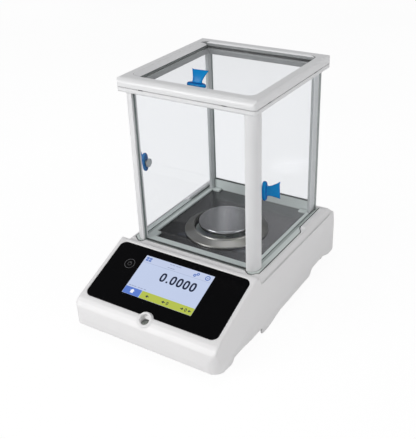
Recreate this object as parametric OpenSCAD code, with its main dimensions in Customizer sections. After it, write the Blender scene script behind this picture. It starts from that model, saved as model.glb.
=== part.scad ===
// Analytical balance with a glass draft shield, three sliding doors,
// a touch screen console and an internal calibration weight.
// Frame: +Z up, origin on the ground at the centre of the footprint,
// the console faces -Y, +X is the right-hand side. Millimetres.

/* [Body] */
// Width of the base housing
body_width = 230; // [228:1:236]
// Depth of the base housing
body_depth = 350; // [350:1:356]
// Wall thickness of the housing shell
wall = 3; // [2.6:0.1:3.2]

/* [Console] */
// Length of the touch panel up the slope
panel_length = 95.4; // [94:0.2:96]
// Width of the touch panel
panel_width = 205.2; // [200:0.2:206]
// Slope of the console in degrees
slope = 21.86; // [21.5:0.01:22]

/* [Draft shield] */
// Outer width of the top frame
frame_width = 201.6; // [198:0.2:204]
// Height of the top of the shield above the ground
shield_top = 319.8; // [310:0.2:330]
// Thickness of the glass panes
glass_thickness = 3.5; // [3:0.1:3.6]

/* [Weighing pan] */
// Radius of the weighing pan
pan_radius = 39.4; // [36:0.1:40]
// Height of the top of the pan above the ground
pan_top = 98.1; // [97:0.1:100]
// Outer radius of the draft ring
ring_radius = 60; // [56:0.1:62]

/* [Levelling feet] */
// Radius of the levelling foot wheel
wheel_radius = 13; // [10:0.5:14]
// Radius of the threaded stud
stud_radius = 3.95; // [3.9:0.01:3.97]

/* [Hidden] */
$fn = 64;
half_width = body_width/2;
half_depth = body_depth/2;

// Top frame of the shield
frame_half = frame_width/2;
frame_front = -55.2;
frame_back = 152.5;
frame_parting = shield_top - 11.6;      // plane between its two halves
frame_bottom = shield_top - 18.3;
frame_step = 0.9;                       // inset of the lap and of the reveal
frame_corner = 5;

// Shield base and glass
deck = 84.5;                            // top of the deck that carries the shield
base_bottom = 76.5;                     // underside of the shield base
pane_top = frame_bottom + 2.6;          // upper edge of the upright panes
front_pane = [81.6, -46];               // [half width, Y of the front face]
rear_pane = [82, 141.4];
door_inner = 87.5;                      // inner face of a side door
door_outer = door_inner + glass_thickness;
top_door_bottom = shield_top - 9.7;
top_door_top = top_door_bottom + glass_thickness;
front_post_screw = [89.2, -40.5];       // right-hand screws, [x, y]
rear_post_screw = [84.8, 139.8];
side_handle_y = -18.3;
side_handle_z = 189.9;
top_handle = [1, -24];
handle_hole_radius = 3.1;               // hole through the glass
cap_flange = 1.5;                       // thickness of a handle cap's flange

// Places in plan, [x, y]
axis = [0, 0];
pan_centre = [0, 39];
rear_foot = [90, 150];                  // right-hand feet
front_foot = [90, -148];
level_centre = [0, -161.4];
magnet_centre = [0, 106];
spindle_centre = [0, -16];
plate_points = [[-44, -42], [44, -42], [-44, 138], [44, 138]];   // pillars of the cell plate
cell_points = [[-18, 84], [18, 84], [-18, 118], [18, 118]];      // screws under the cell block
tower_points = [                                                 // housing screws
  [-100, -120], [100, -120], [-101, 20], [101, 20], [-98, 128], [98, 128]];

// Heights and axes inside the housing
level_bottom = 38.6;
vial_bottom = level_bottom + 1;
plate_top = 36;                         // top of the cell plate
magnet_bottom = 50;
weight_y = 6;                           // axis of the calibration weight
weight_z = 52;
board_bottom = 34;
board_top = 35.6;

// Sockets in the back wall, [x0, z0, x1, z1]
serial_outline = [-75.3, 37.7, -44.7, 50.3];
square_usb_outline = [-32.1, 38.5, -19.9, 49.5];
flat_usb_outline = [-12.5, 40.7, 2.5, 48.3];
socket_front = 151.6;                   // rear face of the connector board
jack_x = 28;
jack_z = 44;

glass_colour = [0.8, 0.88, 0.86, 0.35];
handle_colour = [0.08, 0.45, 0.78];

// ---------- helpers ----------

// rounded rectangle with exact arcs
module rounded_rect(x0, y0, x1, y1, r) {
  translate([x0 + r, y0]) square([x1 - x0 - 2*r, y1 - y0]);
  translate([x0, y0 + r]) square([x1 - x0, y1 - y0 - 2*r]);
  for (x = [x0 + r, x1 - r]) for (y = [y0 + r, y1 - r]) translate([x, y]) circle(r);
}
// box from its lowest corner to its highest
module block(low, high) translate(low) cube(high - low);
// place in plan, raised to z
module at(point, z) translate([point.x, point.y, z]) children();
// upright cylinder standing at height z
module rod(point, z, radius, height) at(point, z) cylinder(r = radius, h = height);
// outline extruded upwards from height z
module extrude_from(z, height) translate([0, 0, z]) linear_extrude(height) children();
// (y, z) profile extruded along X
module along_x(x0, x1)
  translate([x0, 0, 0]) rotate([90, 0, 90]) linear_extrude(x1 - x0) children();
// (x, z) profile extruded along Y
module along_y(y0, y1)
  translate([0, y1, 0]) rotate([90, 0, 0]) linear_extrude(y1 - y0) children();
// (radius, z) outline turned about the pan's axis
module turned(outline) at(pan_centre, 0) rotate_extrude() polygon(outline);
// right-hand shape and its left-hand mirror image
module both() {
  children();
  mirror([1, 0, 0]) children();
}
module left() mirror([1, 0, 0]) children();
// frame of the sloping console: X across, Y up the slope, Z its outward normal
module on_slope() translate([0, -158.3, 52.9]) rotate([slope, 0, 0]) children();
// screw with its head standing on z = 0
module screw(shank_radius, length, head_radius, head_height) {
  cylinder(r = head_radius, h = head_height);
  cylinder(r = shank_radius, h = length);
}
// socket envelope, grown by a gap on each side
module socket(outline, y0, y1, gap_x = 0, gap_z = 0)
  block([outline[0] - gap_x, y0, outline[1] - gap_z], [outline[2] + gap_x, y1, outline[3] + gap_z]);

// ---------- housing ----------

// side profiles, [y, z]: rounded nose, console slope, valley, deck, rear shoulder
side_outer = [
  [-170.5, -2], [-173.4, 12], [-174.6, 17], [-half_depth, 24], [-174, 32], [-171.8, 39],
  [-168, 45.2], [-163.4, 49.8], [-157, 53.42], [-68, 89.13], [-65.4, 89.8], [-62.6, 89.2],
  [-60.4, 87], [-57.6, 82.8], [-55.4, 81.4], [-53, 81.9], [-50.4, 84], [-49, deck],
  [157, deck], [161.5, 83], [166.5, 78], [171.5, 71], [174.2, 65], [half_depth, 59],
  [half_depth, -2]];
side_inner = [
  [-167, -3], [-170.2, 14], [-half_depth + 3, 24], [-170.5, 33], [-166.5, 41], [-160.5, 46.4],
  [-155.5, 48.6], [-66.5, 84.3], [-63.5, 84.3], [-60.5, 78.6], [-57, 76.6], [-52, 77.2],
  [-49, 80], [-48, deck - 3], [155, deck - 3], [159.5, 80], [164, 75.6], [168.8, 69],
  [171, 64], [half_depth - 3, 58], [half_depth - 3, -3]];
// front profiles, [x, z]: flared sides
front_outer = [
  [-113, -2], [-114.6, 20], [-half_width, 34], [-114.7, 48], [-113, 62], [-110, 77.5],
  [-109, 92], [109, 92], [110, 77.5], [113, 62], [114.7, 48], [half_width, 34],
  [114.6, 20], [113, -2]];
front_inner = [
  [-110, -3], [-111.6, 20], [-112, 34], [-111.7, 48], [-110, 60], [-107, 74], [-97.6, 81.6],
  [-97.6, 92], [97.6, 92], [97.6, 81.6], [107, 74], [110, 60], [111.7, 48], [112, 34],
  [111.6, 20], [110, -3]];
// lower contour of the skirt, [y, z], with its finger gaps and side runners
skirt_contour = [
  [-190, -9], [-190, 12.8], [-173, 12.4], [-160, 10.6], [-142, 8.6], [-138.5, 9.2], [-136, 15],
  [-133, 16], [-118, 16], [-93, 14], [-68, 13.2], [-63.5, 12.8], [-61.4, 3], [-59, 2],
  [-52, 1.6], [-42, 1.9], [-33, 4], [-22, 7], [-10, 9.2], [20, 9.9], [52, 10.9], [80, 11.9],
  [83, 14], [85.5, 19], [90, 21.2], [108, 22], [124, 21.6], [134, 18.6], [144, 15],
  [150, 14.5], [190, 14.5], [190, -9]];

// outer body of the upper housing, or the body of its cavity
module housing_body(inner) {
  inset = inner ? wall : 0;
  // [x, z] areas cut away outside the console and the deck
  console_shoulder = [
    [107.6 - inset, 30], [107.6 - inset, 0.2], [109.6 - inset, -2.4], [115.2 - inset, -38],
    [130, -38], [130, 30]];
  deck_shoulder = [
    [101 - inset, 99], [101 - inset, deck + 0.3], [103.4 - inset, deck - 0.8 - inset],
    [106 - inset, 79.4 - inset], [107.2 - inset, 77.8 - inset], [110.6 - inset, 76.8 - inset],
    [125, 76.8 - inset], [125, 99]];
  difference() {
    intersection() {
      extrude_from(-2, 120)
        rounded_rect(-half_width + inset, -half_depth + inset,
          half_width - inset, half_depth - inset, 19 - inset);
      along_x(-half_width - 5, half_width + 5) polygon(inner ? side_inner : side_outer);
      along_y(-half_depth - 5, half_depth + 5) polygon(inner ? front_inner : front_outer);
    }
    both() on_slope() translate([0, -30, 0]) rotate([90, 0, 0]) mirror([0, 0, 1])
      linear_extrude(160) polygon(console_shoulder);
    both() along_y(-57.5, half_depth + 5) polygon(deck_shoulder);
  }
}
// outline of the shield base, grown by a margin
module base_outline(grow) {
  wide = 99.3 + grow;
  narrow = 93.4 + grow;
  rounded_rect(-wide, -46.3 - grow, wide, 76 + grow, 3);
  rounded_rect(-narrow, -40, narrow, 152 + grow, 2);
  for (side = [-1, 1]) {
    polygon([[side*narrow, 60], [side*wide, 60], [side*wide, 76 + grow], [side*narrow, 85 + grow]]);
    translate([side*88.6, 0]) rounded_rect(-8.9 - grow, -50.2 - grow, 8.9 + grow, -28, 8);
  }
}
// where the round level's collar sits
module at_level_collar() translate([0, -163.2, 50.6]) rotate([42, 0, 0]) children();
// cylinder of the notch in the panel's lower edge
module panel_notch(z, radius, height) on_slope() rod([0, -6.1], z, radius, height);

module housing_cavity() difference() {
  housing_body(true);
  // deck thickened into the well that seats the shield
  extrude_from(73.5, 12) base_outline(2.6);
  // screw towers
  for (p = tower_points) rod(p, 28, 5, 60);
  // pocket behind the level
  at_level_collar() rod(axis, -16, 10, 18);
}

module upper_housing() color("white") {
  difference() {
    union() {
      difference() {
        housing_body(false);
        housing_cavity();
      }
      // raised pads beside the rear part of the door tracks
      both() block([94.4, 87, 80], [100.6, 153, 86.4]);
      // collar of the level
      intersection() {
        at_level_collar() rod(axis, -12, 10, 12.6);
        translate([-20, -half_depth, 20]) cube([40, 60, 60]);
      }
    }
    along_x(-half_width - 9, half_width + 9) polygon(skirt_contour);
    // well for the shield base
    extrude_from(base_bottom, 20) base_outline(0.9);
    // hole under the pan
    rod(pan_centre, 60, 34, 30);
    // channels that let the side doors run out at the back
    both() block([door_inner - 0.6, 100, 83.2], [door_outer + 0.6, half_depth + 5, 100]);
    // recess for the touch panel
    difference() {
      on_slope() extrude_from(-2.6, 9)
        rounded_rect(-panel_width/2 - 0.3, -0.3, panel_width/2 + 0.3, panel_length + 0.3, 9.3);
      panel_notch(-9, 12.2, 30);
    }
    // windows for the display and the power key
    on_slope() {
      translate([-61, 15, -12]) cube([122, 75, 20]);
      translate([-76, 54, -12]) cube([14, 14, 20]);
    }
    // round recess and seat of the level
    at_level_collar() rod(axis, -5, 6.9, 12);
    rod(level_centre, level_bottom, 6.1, 9);
    // pilot holes in the screw towers
    for (p = tower_points) rod(p, 20, 1.6, 26);
    // cut-outs for the sockets in the back wall
    for (outline = [serial_outline, square_usb_outline, flat_usb_outline])
      socket(outline, 160, 190, 0.3, 0.3);
    translate([jack_x, 190, jack_z]) rotate([90, 0, 0]) cylinder(r = 5.2, h = 30);
    // vents in the back wall
    for (k = [0:8]) block([52 + 4.4*k, 160, 36], [54 + 4.4*k, 190, 54]);
  }
}

module lower_housing() color("whitesmoke") {
  difference() {
    union() {
      extrude_from(23, 3) rounded_rect(-109.6, -166, 109.6, 169, 15);
      // foot bosses
      both() {
        rod(rear_foot, 13, 11, 20);
        rod(front_foot, 8, 11, 16);
      }
      // pillars for the cell plate
      for (p = plate_points) rod(p, 25, 6, 6);
      // stiffening ribs
      for (y = [-70, 4, 84]) block([-104, y, 25], [-60, y + 2, 29]);
      for (y = [-128, -100]) block([-90, y, 25], [90, y + 2, 30]);
      // collar of the weigh-below port
      rod(pan_centre, 23, 15, 5);
    }
    both() {
      rod(rear_foot, 10, 6, 30);
      rod(front_foot, 4, 2.9, 12);
    }
    for (p = plate_points) rod(p, 26, 1.9, 6);
    for (p = tower_points) rod(p, 20, 2.2, 10);
    rod(pan_centre, 20, 11, 12);
    // vents
    for (k = [0:9]) block([62, -40 + 8*k, 20], [96, -36 + 8*k, 30]);
  }
}

// ---------- console ----------

module control_panel_glass() color([0.03, 0.03, 0.035]) difference() {
  on_slope() extrude_from(-2.6, 2.2)
    rounded_rect(-panel_width/2, 0, panel_width/2, panel_length, 9);
  panel_notch(-5, 12.6, 10);
}
module display_module() color([0.25, 0.3, 0.45]) on_slope() {
  difference() {
    translate([-60, 16, -8.4]) cube([120, 73, 5.8]);
    translate([-55.2, 19.6, -3.2]) cube([110.4, 66, 4]);
  }
  // driver board, wider than the screen
  translate([-60, 20, -10]) cube([144, 60, 1.7]);
}
module power_key_board() color("darkgreen") on_slope() {
  translate([-75.4, 54.6, -4.2]) cube([12.8, 12.8, 1.6]);
  translate([-72, 58, -7.4]) cube([6, 6, 3.3]);
}
module spirit_level_cup() color("dimgray") difference() {
  rod(level_centre, level_bottom, 6, 5.6);
  rod(level_centre, vial_bottom, 5.2, 6);
}
module spirit_level_vial() color([0.75, 0.85, 0.3]) difference() {
  rod(level_centre, vial_bottom, 5.15, 4.4);
  rod(level_centre, vial_bottom + 3.2, 1.5, 0.8);
}

// ---------- shield base and pan ----------

// upright pane across the shield, place = [half width, Y of the front face];
// with gaps it is the slot that holds the pane
module cross_pane(place, z0, z1, side_gap = 0, face_gap = 0) {
  half = place[0] + side_gap;
  block([-half, place[1] - face_gap, z0], [half, place[1] + glass_thickness + face_gap, z1]);
}
// grooves of the side doors, open at the back
module door_tracks(z0, z1)
  both() block([door_inner - 0.4, -33.4, z0], [door_outer + 0.4, 160, z1]);

module shield_base() color("gainsboro") difference() {
  union() {
    extrude_from(base_bottom, deck - base_bottom) base_outline(0);
    // raised rear rail
    block([-82, 139.9, 80], [82, 146.6, 98.5]);
    // low lips on the outer side of the rear part of each door track
    both() block([91.6, 88, 80], [93.2, 151.6, 86.2]);
  }
  // seat of the floor plate, with corner bosses left standing for the posts
  difference() {
    block([-81.7, -31.9, 80.8], [81.7, 140.1, 90]);
    both() {
      translate([78, -26, 70]) cube([8, 14, 29], center = true);
      translate([75.5, 136.5, 70]) cube([13, 10.6, 29], center = true);
    }
  }
  // hole under the pan
  rod(pan_centre, 70, 32, 30);
  door_tracks(83.4, 99);
  // seats of the front and rear panes
  cross_pane(front_pane, 81.5, 99, 0.3, 0.1);
  cross_pane(rear_pane, 94.8, 110, 0.2, 0.2);
  // screw holes under the posts
  both() {
    rod(front_post_screw, 70, 2.1, 20);
    rod(front_post_screw, 70, 3.9, 9.5);
    rod(rear_post_screw, 70, 1.35, 20);
    rod(rear_post_screw, 70, 2.5, 9.5);
  }
}
module chamber_floor_plate() color([0.42, 0.42, 0.43]) extrude_from(80.8, 1.2) difference() {
  rounded_rect(-81.4, -31.6, 81.4, 139.8, 1);
  translate(pan_centre) circle(45);
  // notches round the corner bosses
  for (side = [-1, 1]) {
    translate([side*78.2, -26]) square([9, 14.8], center = true);
    translate([side*75.5, 136.3]) square([13.8, 11.4], center = true);
  }
}

// turned outlines, [radius, z]
ring_outline = [
  [ring_radius - 1.6, 82], [ring_radius, 82], [ring_radius, 84.4], [ring_radius - 0.8, 85.2],
  [ring_radius - 2.2, 85.6], [48.6, 89.6], [47.6, 91], [46.4, 91.4], [45.6, 90.8],
  [45.4, 88.4], [46.6, 88.2], [58.2, 84]];
hub_bottom = pan_top - 9.6;             // lower end of the pan's hub
pan_outline = [
  [0, pan_top], [pan_radius - 3, pan_top], [pan_radius - 1.5, pan_top - 0.35],
  [pan_radius - 0.5, pan_top - 1.2], [pan_radius, pan_top - 2.6], [pan_radius, pan_top - 5],
  [pan_radius - 0.8, pan_top - 6.7], [pan_radius - 2.2, pan_top - 7.4],
  [pan_radius - 3.2, pan_top - 7], [pan_radius - 2.6, pan_top - 5],
  [pan_radius - 3.4, pan_top - 2.6], [9, pan_top - 2.4], [9, hub_bottom], [3.3, hub_bottom],
  [3.3, pan_top - 4.6], [0, pan_top - 4.6]];
stem_radius = 2.95;                     // guide stem of the pan support
support_outline = [
  [0, 63], [stem_radius, 63], [stem_radius, 71.4], [6, 71.4], [6, 75], [4, 77], [4, 84.6],
  [26, 85.2], [27, 86.2], [27, 87.2], [25, 87.8], [9, hub_bottom], [3.2, hub_bottom],
  [3.2, 91.8], [2, 93], [0, 93]];

module draft_ring() color("silver") turned(ring_outline);
module weighing_pan() color("silver") turned(pan_outline);
module pan_support() color("lightgray") turned(support_outline);

// ---------- posts ----------

// holes for the screws at both ends of a post
module post_holes(point, radius)
  for (z = [deck - 1, frame_bottom - 18]) rod(point, z, radius, 20);
// front posts carry the quarter-round outer corner
module front_post() difference() {
  extrude_from(deck, frame_bottom - deck) {
    translate([82.3, -49]) square([1.7, 6.6]);
    // wing that laps the outside of the side door
    translate([91.6, -37]) square([4.4, 5]);
    intersection() {
      translate([84, -37]) circle(12);
      translate([84, -49]) square([12, 12]);
    }
  }
  post_holes(front_post_screw, 1.6);
}
module rear_post() difference() {
  extrude_from(deck, frame_bottom - deck) rounded_rect(82.4, 133, 87.2, 146.4, 0.8);
  post_holes(rear_post_screw, 1.25);
}
module front_right_post() color("white") front_post();
module front_left_post() color("white") left() front_post();
module rear_right_post() color("white") rear_post();
module rear_left_post() color("white") left() rear_post();
module post_screws_lower() color("silver") both() {
  at(front_post_screw, 77) screw(1.55, 22, 3.6, 2.5);
  at(rear_post_screw, 77.9) screw(1.2, 20, 2.3, 1.6);
}
module post_screws_upper() color("silver") both() {
  at(front_post_screw, frame_bottom + 5.6) mirror([0, 0, 1]) screw(1.55, 18, 3, 2);
  at(rear_post_screw, frame_bottom + 4.6) mirror([0, 0, 1]) screw(1.2, 17, 2.2, 1.4);
}

// ---------- top frame ----------

module frame_outline(inset = 0)
  rounded_rect(-frame_half + inset, frame_front + inset,
    frame_half - inset, frame_back - inset, frame_corner - inset);
// rounded block of the top frame: bullnosed front and rear, crisper sides
module frame_block(z0, z1) intersection() {
  extrude_from(z0, z1 - z0) frame_outline();
  along_x(-frame_half - 1, frame_half + 1)
    rounded_rect(frame_front, z0 - 20, frame_back, z1, 7.5);
  along_y(frame_front - 1, frame_back + 1)
    rounded_rect(-frame_half, z0 - 20, frame_half, z1, 3);
}
module top_frame_lower() color("white") difference() {
  bed_bottom = frame_bottom + 3;
  union() {
    difference() {
      extrude_from(frame_bottom, frame_parting - frame_bottom - 0.6) frame_outline();
      // softened lower edge
      both() translate([frame_half + 0.2, 45, frame_bottom - 0.2])
        rotate([0, 45, 0]) cube([3, 230, 3], center = true);
      for (y = [frame_front - 0.2, frame_back + 0.2])
        translate([0, y, frame_bottom - 0.2]) rotate([45, 0, 0]) cube([220, 3, 3], center = true);
    }
    extrude_from(bed_bottom, frame_parting - bed_bottom) frame_outline(frame_step);
    // raised bed that carries the top door
    extrude_from(bed_bottom, top_door_bottom - 0.2 - bed_bottom)
      rounded_rect(-92, frame_front + 8, 92, frame_back - frame_step, 3);
  }
  // opening
  extrude_from(frame_bottom - 1, 20) rounded_rect(-84.6, -31.5, 84.6, 136.4, 6);
  // grooves over the side doors and the two fixed panes
  door_tracks(frame_bottom - 1, bed_bottom);
  cross_pane(front_pane, frame_bottom - 1, bed_bottom, 0.4, 0.1);
  cross_pane(rear_pane, frame_bottom - 1, bed_bottom, 0.4, 0.2);
  // screws into the posts
  both() {
    rod(front_post_screw, frame_bottom - 1, 1.7, 10);
    rod(front_post_screw, frame_bottom + 3.5, 3.1, 10);
    rod(rear_post_screw, frame_bottom - 1, 1.35, 10);
    rod(rear_post_screw, frame_bottom + 3.1, 2.4, 10);
  }
  clips(0.1);
}

// sections of the upper opening with its wide inner lip, [x, z] and [y, z]
opening_low = frame_parting - 2;
opening_high = shield_top + 5;
lip_z = shield_top - 5.4;               // foot of the lip's slope
opening_across = [
  [-84, opening_low], [-84, lip_z], [-89.5, shield_top], [-89.5, opening_high],
  [89.5, opening_high], [89.5, shield_top], [84, lip_z], [84, opening_low]];
opening_along = [
  [-34, opening_low], [-34, lip_z], [-39.6, shield_top], [-39.6, opening_high],
  [136, opening_high], [136, shield_top], [134.4, shield_top - 2], [134.4, opening_low]];

module top_frame_upper() color("white") difference() {
  union() {
    frame_block(frame_parting + 0.6, shield_top);
    extrude_from(frame_parting, 2) frame_outline(frame_step);
  }
  intersection() {
    extrude_from(frame_parting - 1, 30) rounded_rect(-89.5, -39.6, 89.5, 136, 11);
    along_y(-60, 160) polygon(opening_across);
    along_x(-110, 110) polygon(opening_along);
  }
  // room for the raised bed, and slot of the top door, both open at the back
  block([-92.2, frame_front + 7.8, frame_parting - 1], [92.2, 160, top_door_bottom - 0.1]);
  block([-88, -38, top_door_bottom - 0.3], [88, 160, top_door_top + 0.2]);
  clips(0.1);
}
// one clip over a plan area, grown on all sides
module clip(x0, y0, x1, y1, grow)
  block([x0 - grow, y0 - grow, frame_parting - 1.5 - grow],
    [x1 + grow, y1 + grow, frame_parting + 1.5 + grow]);
// snap clips across the parting line
module clips(grow) {
  for (x = [-62.6, 58.3]) clip(x - 3.2, frame_front + 0.5, x + 3.2, frame_front + 4, grow);
  for (x = [-95.5, 95.5]) clip(x - 2, frame_back - 3.4, x + 2, frame_back - 0.5, grow);
  both() for (y = [-19.4, 105.6]) clip(frame_half - 4, y - 3.2, frame_half - 0.5, y + 3.2, grow);
}
module top_frame_clips() color("gray") clips(0);

// ---------- glass and handles ----------

// handle frame on a side door: Z points to the right
module at_side_handle(x) translate([x, side_handle_y, side_handle_z]) rotate([0, 90, 0]) children();

module front_glass() color(glass_colour) cross_pane(front_pane, 81.5, pane_top);
module rear_glass() color(glass_colour) cross_pane(rear_pane, 94.8, pane_top);
module side_glass() difference() {
  block([door_inner, -33, 83.6], [door_outer, 145.6, pane_top]);
  at_side_handle(door_inner - 1) cylinder(r = handle_hole_radius, h = 10);
}
module right_door_glass() color(glass_colour) side_glass();
module left_door_glass() color(glass_colour) left() side_glass();
module top_door_glass() color(glass_colour) difference() {
  block([-87.6, -37.6, top_door_bottom], [87.6, 152, top_door_top]);
  rod(top_handle, top_door_bottom - 1, handle_hole_radius, 10);
}

// fish-tail grip of a handle, [x, height along the grip]
tail_outline = [
  [-8.6, 0], [-7.4, 2.4], [-6.6, 5], [-7, 8], [-9, 12], [-11.4, 16.4], [-11.6, 17.6],
  [-9, 17.4], [-5, 16.6], [0, 16.4], [5, 16.6], [9, 17.4], [11.6, 17.6], [11.4, 16.4],
  [9, 12], [7, 8], [6.6, 5], [7.4, 2.4], [8.6, 0]];
// handle: foot on z = 0, long axis X, leaning towards +Y
module handle() difference() {
  union() {
    linear_extrude(4.4) rounded_rect(-13.4, -5, 13.4, 5, 4.9);
    translate([0, 0, 1.4]) rotate([-34, 0, 0]) translate([0, 1.5, 0]) rotate([90, 0, 0])
      linear_extrude(3) polygon(tail_outline);
  }
  // trim below the foot, and bore for the cap's pin
  translate([0, 0, -6]) cube([60, 60, 12], center = true);
  rod(axis, -1, 1.6, 4.6);
}
// inner cap with its clamping spigot
module cap() {
  cylinder(r = 6, h = cap_flange);
  cylinder(r = 2.9, h = cap_flange + glass_thickness - 0.1);
  cylinder(r = 1.55, h = cap_flange + glass_thickness + 3.2);
}
module right_door_handle() color(handle_colour) at_side_handle(door_outer) handle();
module left_door_handle() color(handle_colour) left() at_side_handle(door_outer) handle();
module top_door_handle() color(handle_colour) at(top_handle, top_door_top) handle();
module right_handle_cap() color("darkgray") at_side_handle(door_inner - cap_flange) cap();
module left_handle_cap() color("darkgray") left() at_side_handle(door_inner - cap_flange) cap();
module top_handle_cap() color("darkgray") at(top_handle, top_door_bottom - cap_flange) cap();

// ---------- weighing cell ----------

// window between the two parallel guides of the cell block, [y, z]
guide_window = [
  [54, 43], [54, 47], [50, 48.2], [50, 59], [54, 60.4], [54, 64],
  [76, 64], [76, 60.4], [80, 59], [80, 48.2], [76, 47], [76, 43]];

module cell_mounting_plate() color("gray") difference() {
  extrude_from(31, plate_top - 31) rounded_rect(-52, -50, 52, 146, 6);
  for (p = plate_points) rod(p, 28, 2.3, 12);
  rod(pan_centre, 28, 9, 12);
  for (p = cell_points) rod(p, 28, 1.9, 12);
}
// one-piece block: thin flexures guide the receiver end under the pan
module force_cell_block() color("silver") difference() {
  union() {
    block([-25, 22, plate_top], [25, 128, 71]);
    // arms of the receiver end that take the calibration weight
    block([-41, 22, 40], [41, 28, 46]);
    for (x = [-41, 38]) block([x, 1, 40], [x + 3, 28, 46]);
  }
  // clearance under the moving end
  block([-30, 15, 30], [30, 74, 37.2]);
  along_x(-30, 30) polygon(guide_window);
  // slots that thin the guides at their four flexures
  for (y = [54, 76]) {
    translate([0, y, 73.6]) rotate([0, 90, 0]) cylinder(r = 6.4, h = 70, center = true);
    translate([0, y, 33.5]) rotate([0, 90, 0]) cylinder(r = 6.6, h = 70, center = true);
  }
  // bay for the magnet, and the channel of the coil's lever
  rod(magnet_centre, magnet_bottom, 19, 30);
  block([-4.2, 70, 68.4], [4.2, 92, 80]);
  // bore that guides the stem of the pan support
  rod(pan_centre, 61, 3, 12);
  // through hole to the weigh-below hook
  rod(pan_centre, 30, 3, 14);
  // tapped holes
  for (p = cell_points) rod(p, 34, 1.6, 12);
}
module magnet_system() color("dimgray") at(magnet_centre, magnet_bottom) difference() {
  cylinder(r = 18.6, h = 18);
  // air gap round the centre pole, which stands lower than the rim
  difference() {
    rod(axis, 6, 14, 20);
    rod(axis, 5, 9.4, 10.6);
  }
}
module force_coil() color("orangered") at(magnet_centre, magnet_bottom) difference() {
  union() {
    rod(axis, 8, 12.8, 12);
    // lever
    translate([-4, -34, 18.4]) cube([8, 30, 2]);
    translate([-4, -34, 20.2]) cube([8, 8, 1.4]);
  }
  rod(axis, 7, 10.6, 10.6);
}
module position_sensor() color("darkgreen") {
  block([-8, 131, plate_top], [8, 132.6, 70]);
  block([-4, 128.2, 58], [4, 131, 64]);
}
module cell_screws() color("silver") {
  for (p = plate_points) at(p, 39) mirror([0, 0, 1]) screw(1.8, 11, 4, 3);
  for (p = cell_points) at(p, 28.4) screw(1.5, 15, 3.2, 2.6);
}

// ---------- internal calibration weight ----------

module calibration_weight() color("gold")
  translate([-32, weight_y, weight_z]) rotate([0, 90, 0]) {
    cylinder(r = 8, h = 64);
    rod(axis, -10, 3, 84);
  }
module weight_lifter() color("slategray") difference() {
  union() {
    // fork arms
    for (x = [-36.4, 33]) block([x, -4, 42], [x + 3.4, 16, 56]);
    // crossbar and the feet of the arms
    block([-36.4, -9, 40], [36.4, -4.4, 50]);
    both() block([33, -9, 40], [36.4, 10, 44]);
    // nut that rides on the spindle
    rod(spindle_centre, 41.2, 7, 8.8);
    block([-5, -14, 41.2], [5, -6, 50]);
  }
  // vee notches
  translate([-40, weight_y, weight_z]) rotate([0, 90, 0]) cylinder(r = 3.05, h = 80);
  along_x(-40, 40) polygon([[2.95, 52], [9.05, 52], [10, 60], [2, 60]]);
  rod(spindle_centre, 30, 2.55, 30);
}
module lifter_spindle() color("silver") {
  rod(spindle_centre, 36.6, 2.5, 24.8);
  rod(spindle_centre, 61.4, 1.96, 4);
  rod(spindle_centre, 36.6, 5, 1.2);
}
module lifter_bracket() color("gray") difference() {
  union() {
    block([-14, -34, plate_top], [14, -29, 69]);
    block([-14, -34, 64], [14, -8, 69]);
    block([-14, -34, 62.4], [14, -25, 69]);
  }
  rod(spindle_centre, 60, 2, 4.9);
  rod(spindle_centre, 64.8, 4.2, 6);
}
module lifter_motor() color("dimgray") {
  rod(spindle_centre, 65.5, 4.1, 3.5);
  rod(spindle_centre, 69, 9, 4.2);
}

// ---------- electronics ----------

// side view of the cable, [y, z]: lies under the driver board, drops,
// and ends on the main board
cable_profile = [
  [-119, 57.6], [-110.6, 60.9], [-105, 58], [-84, 45.6], [-62, 38.2], [-49.4, 36.4],
  [-38, 36.4], [-38, 35.6], [-49.8, 35.6], [-62.6, 37.2], [-84.6, 44.8], [-105, 57],
  [-110.6, 59.8], [-119, 56.6]];

module main_board() color("darkgreen") {
  block([56, -48, board_bottom], [94, 108, board_top]);
  // components
  block([60, -34, board_top], [74, -20, 38]);
  block([80, -30, board_top], [91, -8, 41]);
  block([60, 4, board_top], [74, 18, 38]);
  block([78, 10, board_top], [91, 34, 50]);
  block([60, 50, board_top], [88, 66, 42]);
  for (k = [0:2]) rod([65 + 10*k, 86], board_top, 3.6, 11);
}
module board_spacers() color("silver")
  for (x = [59.4, 90.6]) for (y = [-44, 104]) rod([x, y], 26, 2.6, board_bottom - 26);
module display_cable() color("white") along_x(62, 80) polygon(cable_profile);
module connector_board() color("darkgreen") block([-77.6, 150, 30], [40, socket_front, 58]);
module serial_port() color("silver") socket(serial_outline, socket_front, 173);
module usb_ports() color("silver") {
  difference() {
    socket(square_usb_outline, socket_front, 174);
    socket(square_usb_outline, 160, 180, -1.5, -1.5);
  }
  difference() {
    socket(flat_usb_outline, socket_front, 174);
    socket(flat_usb_outline, 160, 180, -1.2, -1.1);
  }
}
module power_jack() color("dimgray") difference() {
  translate([jack_x, 174, jack_z]) rotate([90, 0, 0]) cylinder(r = 5, h = 22.4);
  // annular mouth round the centre pin
  translate([jack_x, 176, jack_z]) rotate([90, 0, 0]) difference() {
    cylinder(r = 3, h = 14);
    rod(axis, -1, 1, 20);
  }
}

// ---------- feet, screws, port ----------

module foot_inserts() color("goldenrod") both() at(rear_foot, 13) difference() {
  cylinder(r = 6, h = 18);
  rod(axis, -1, 4, 20);
}
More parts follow.
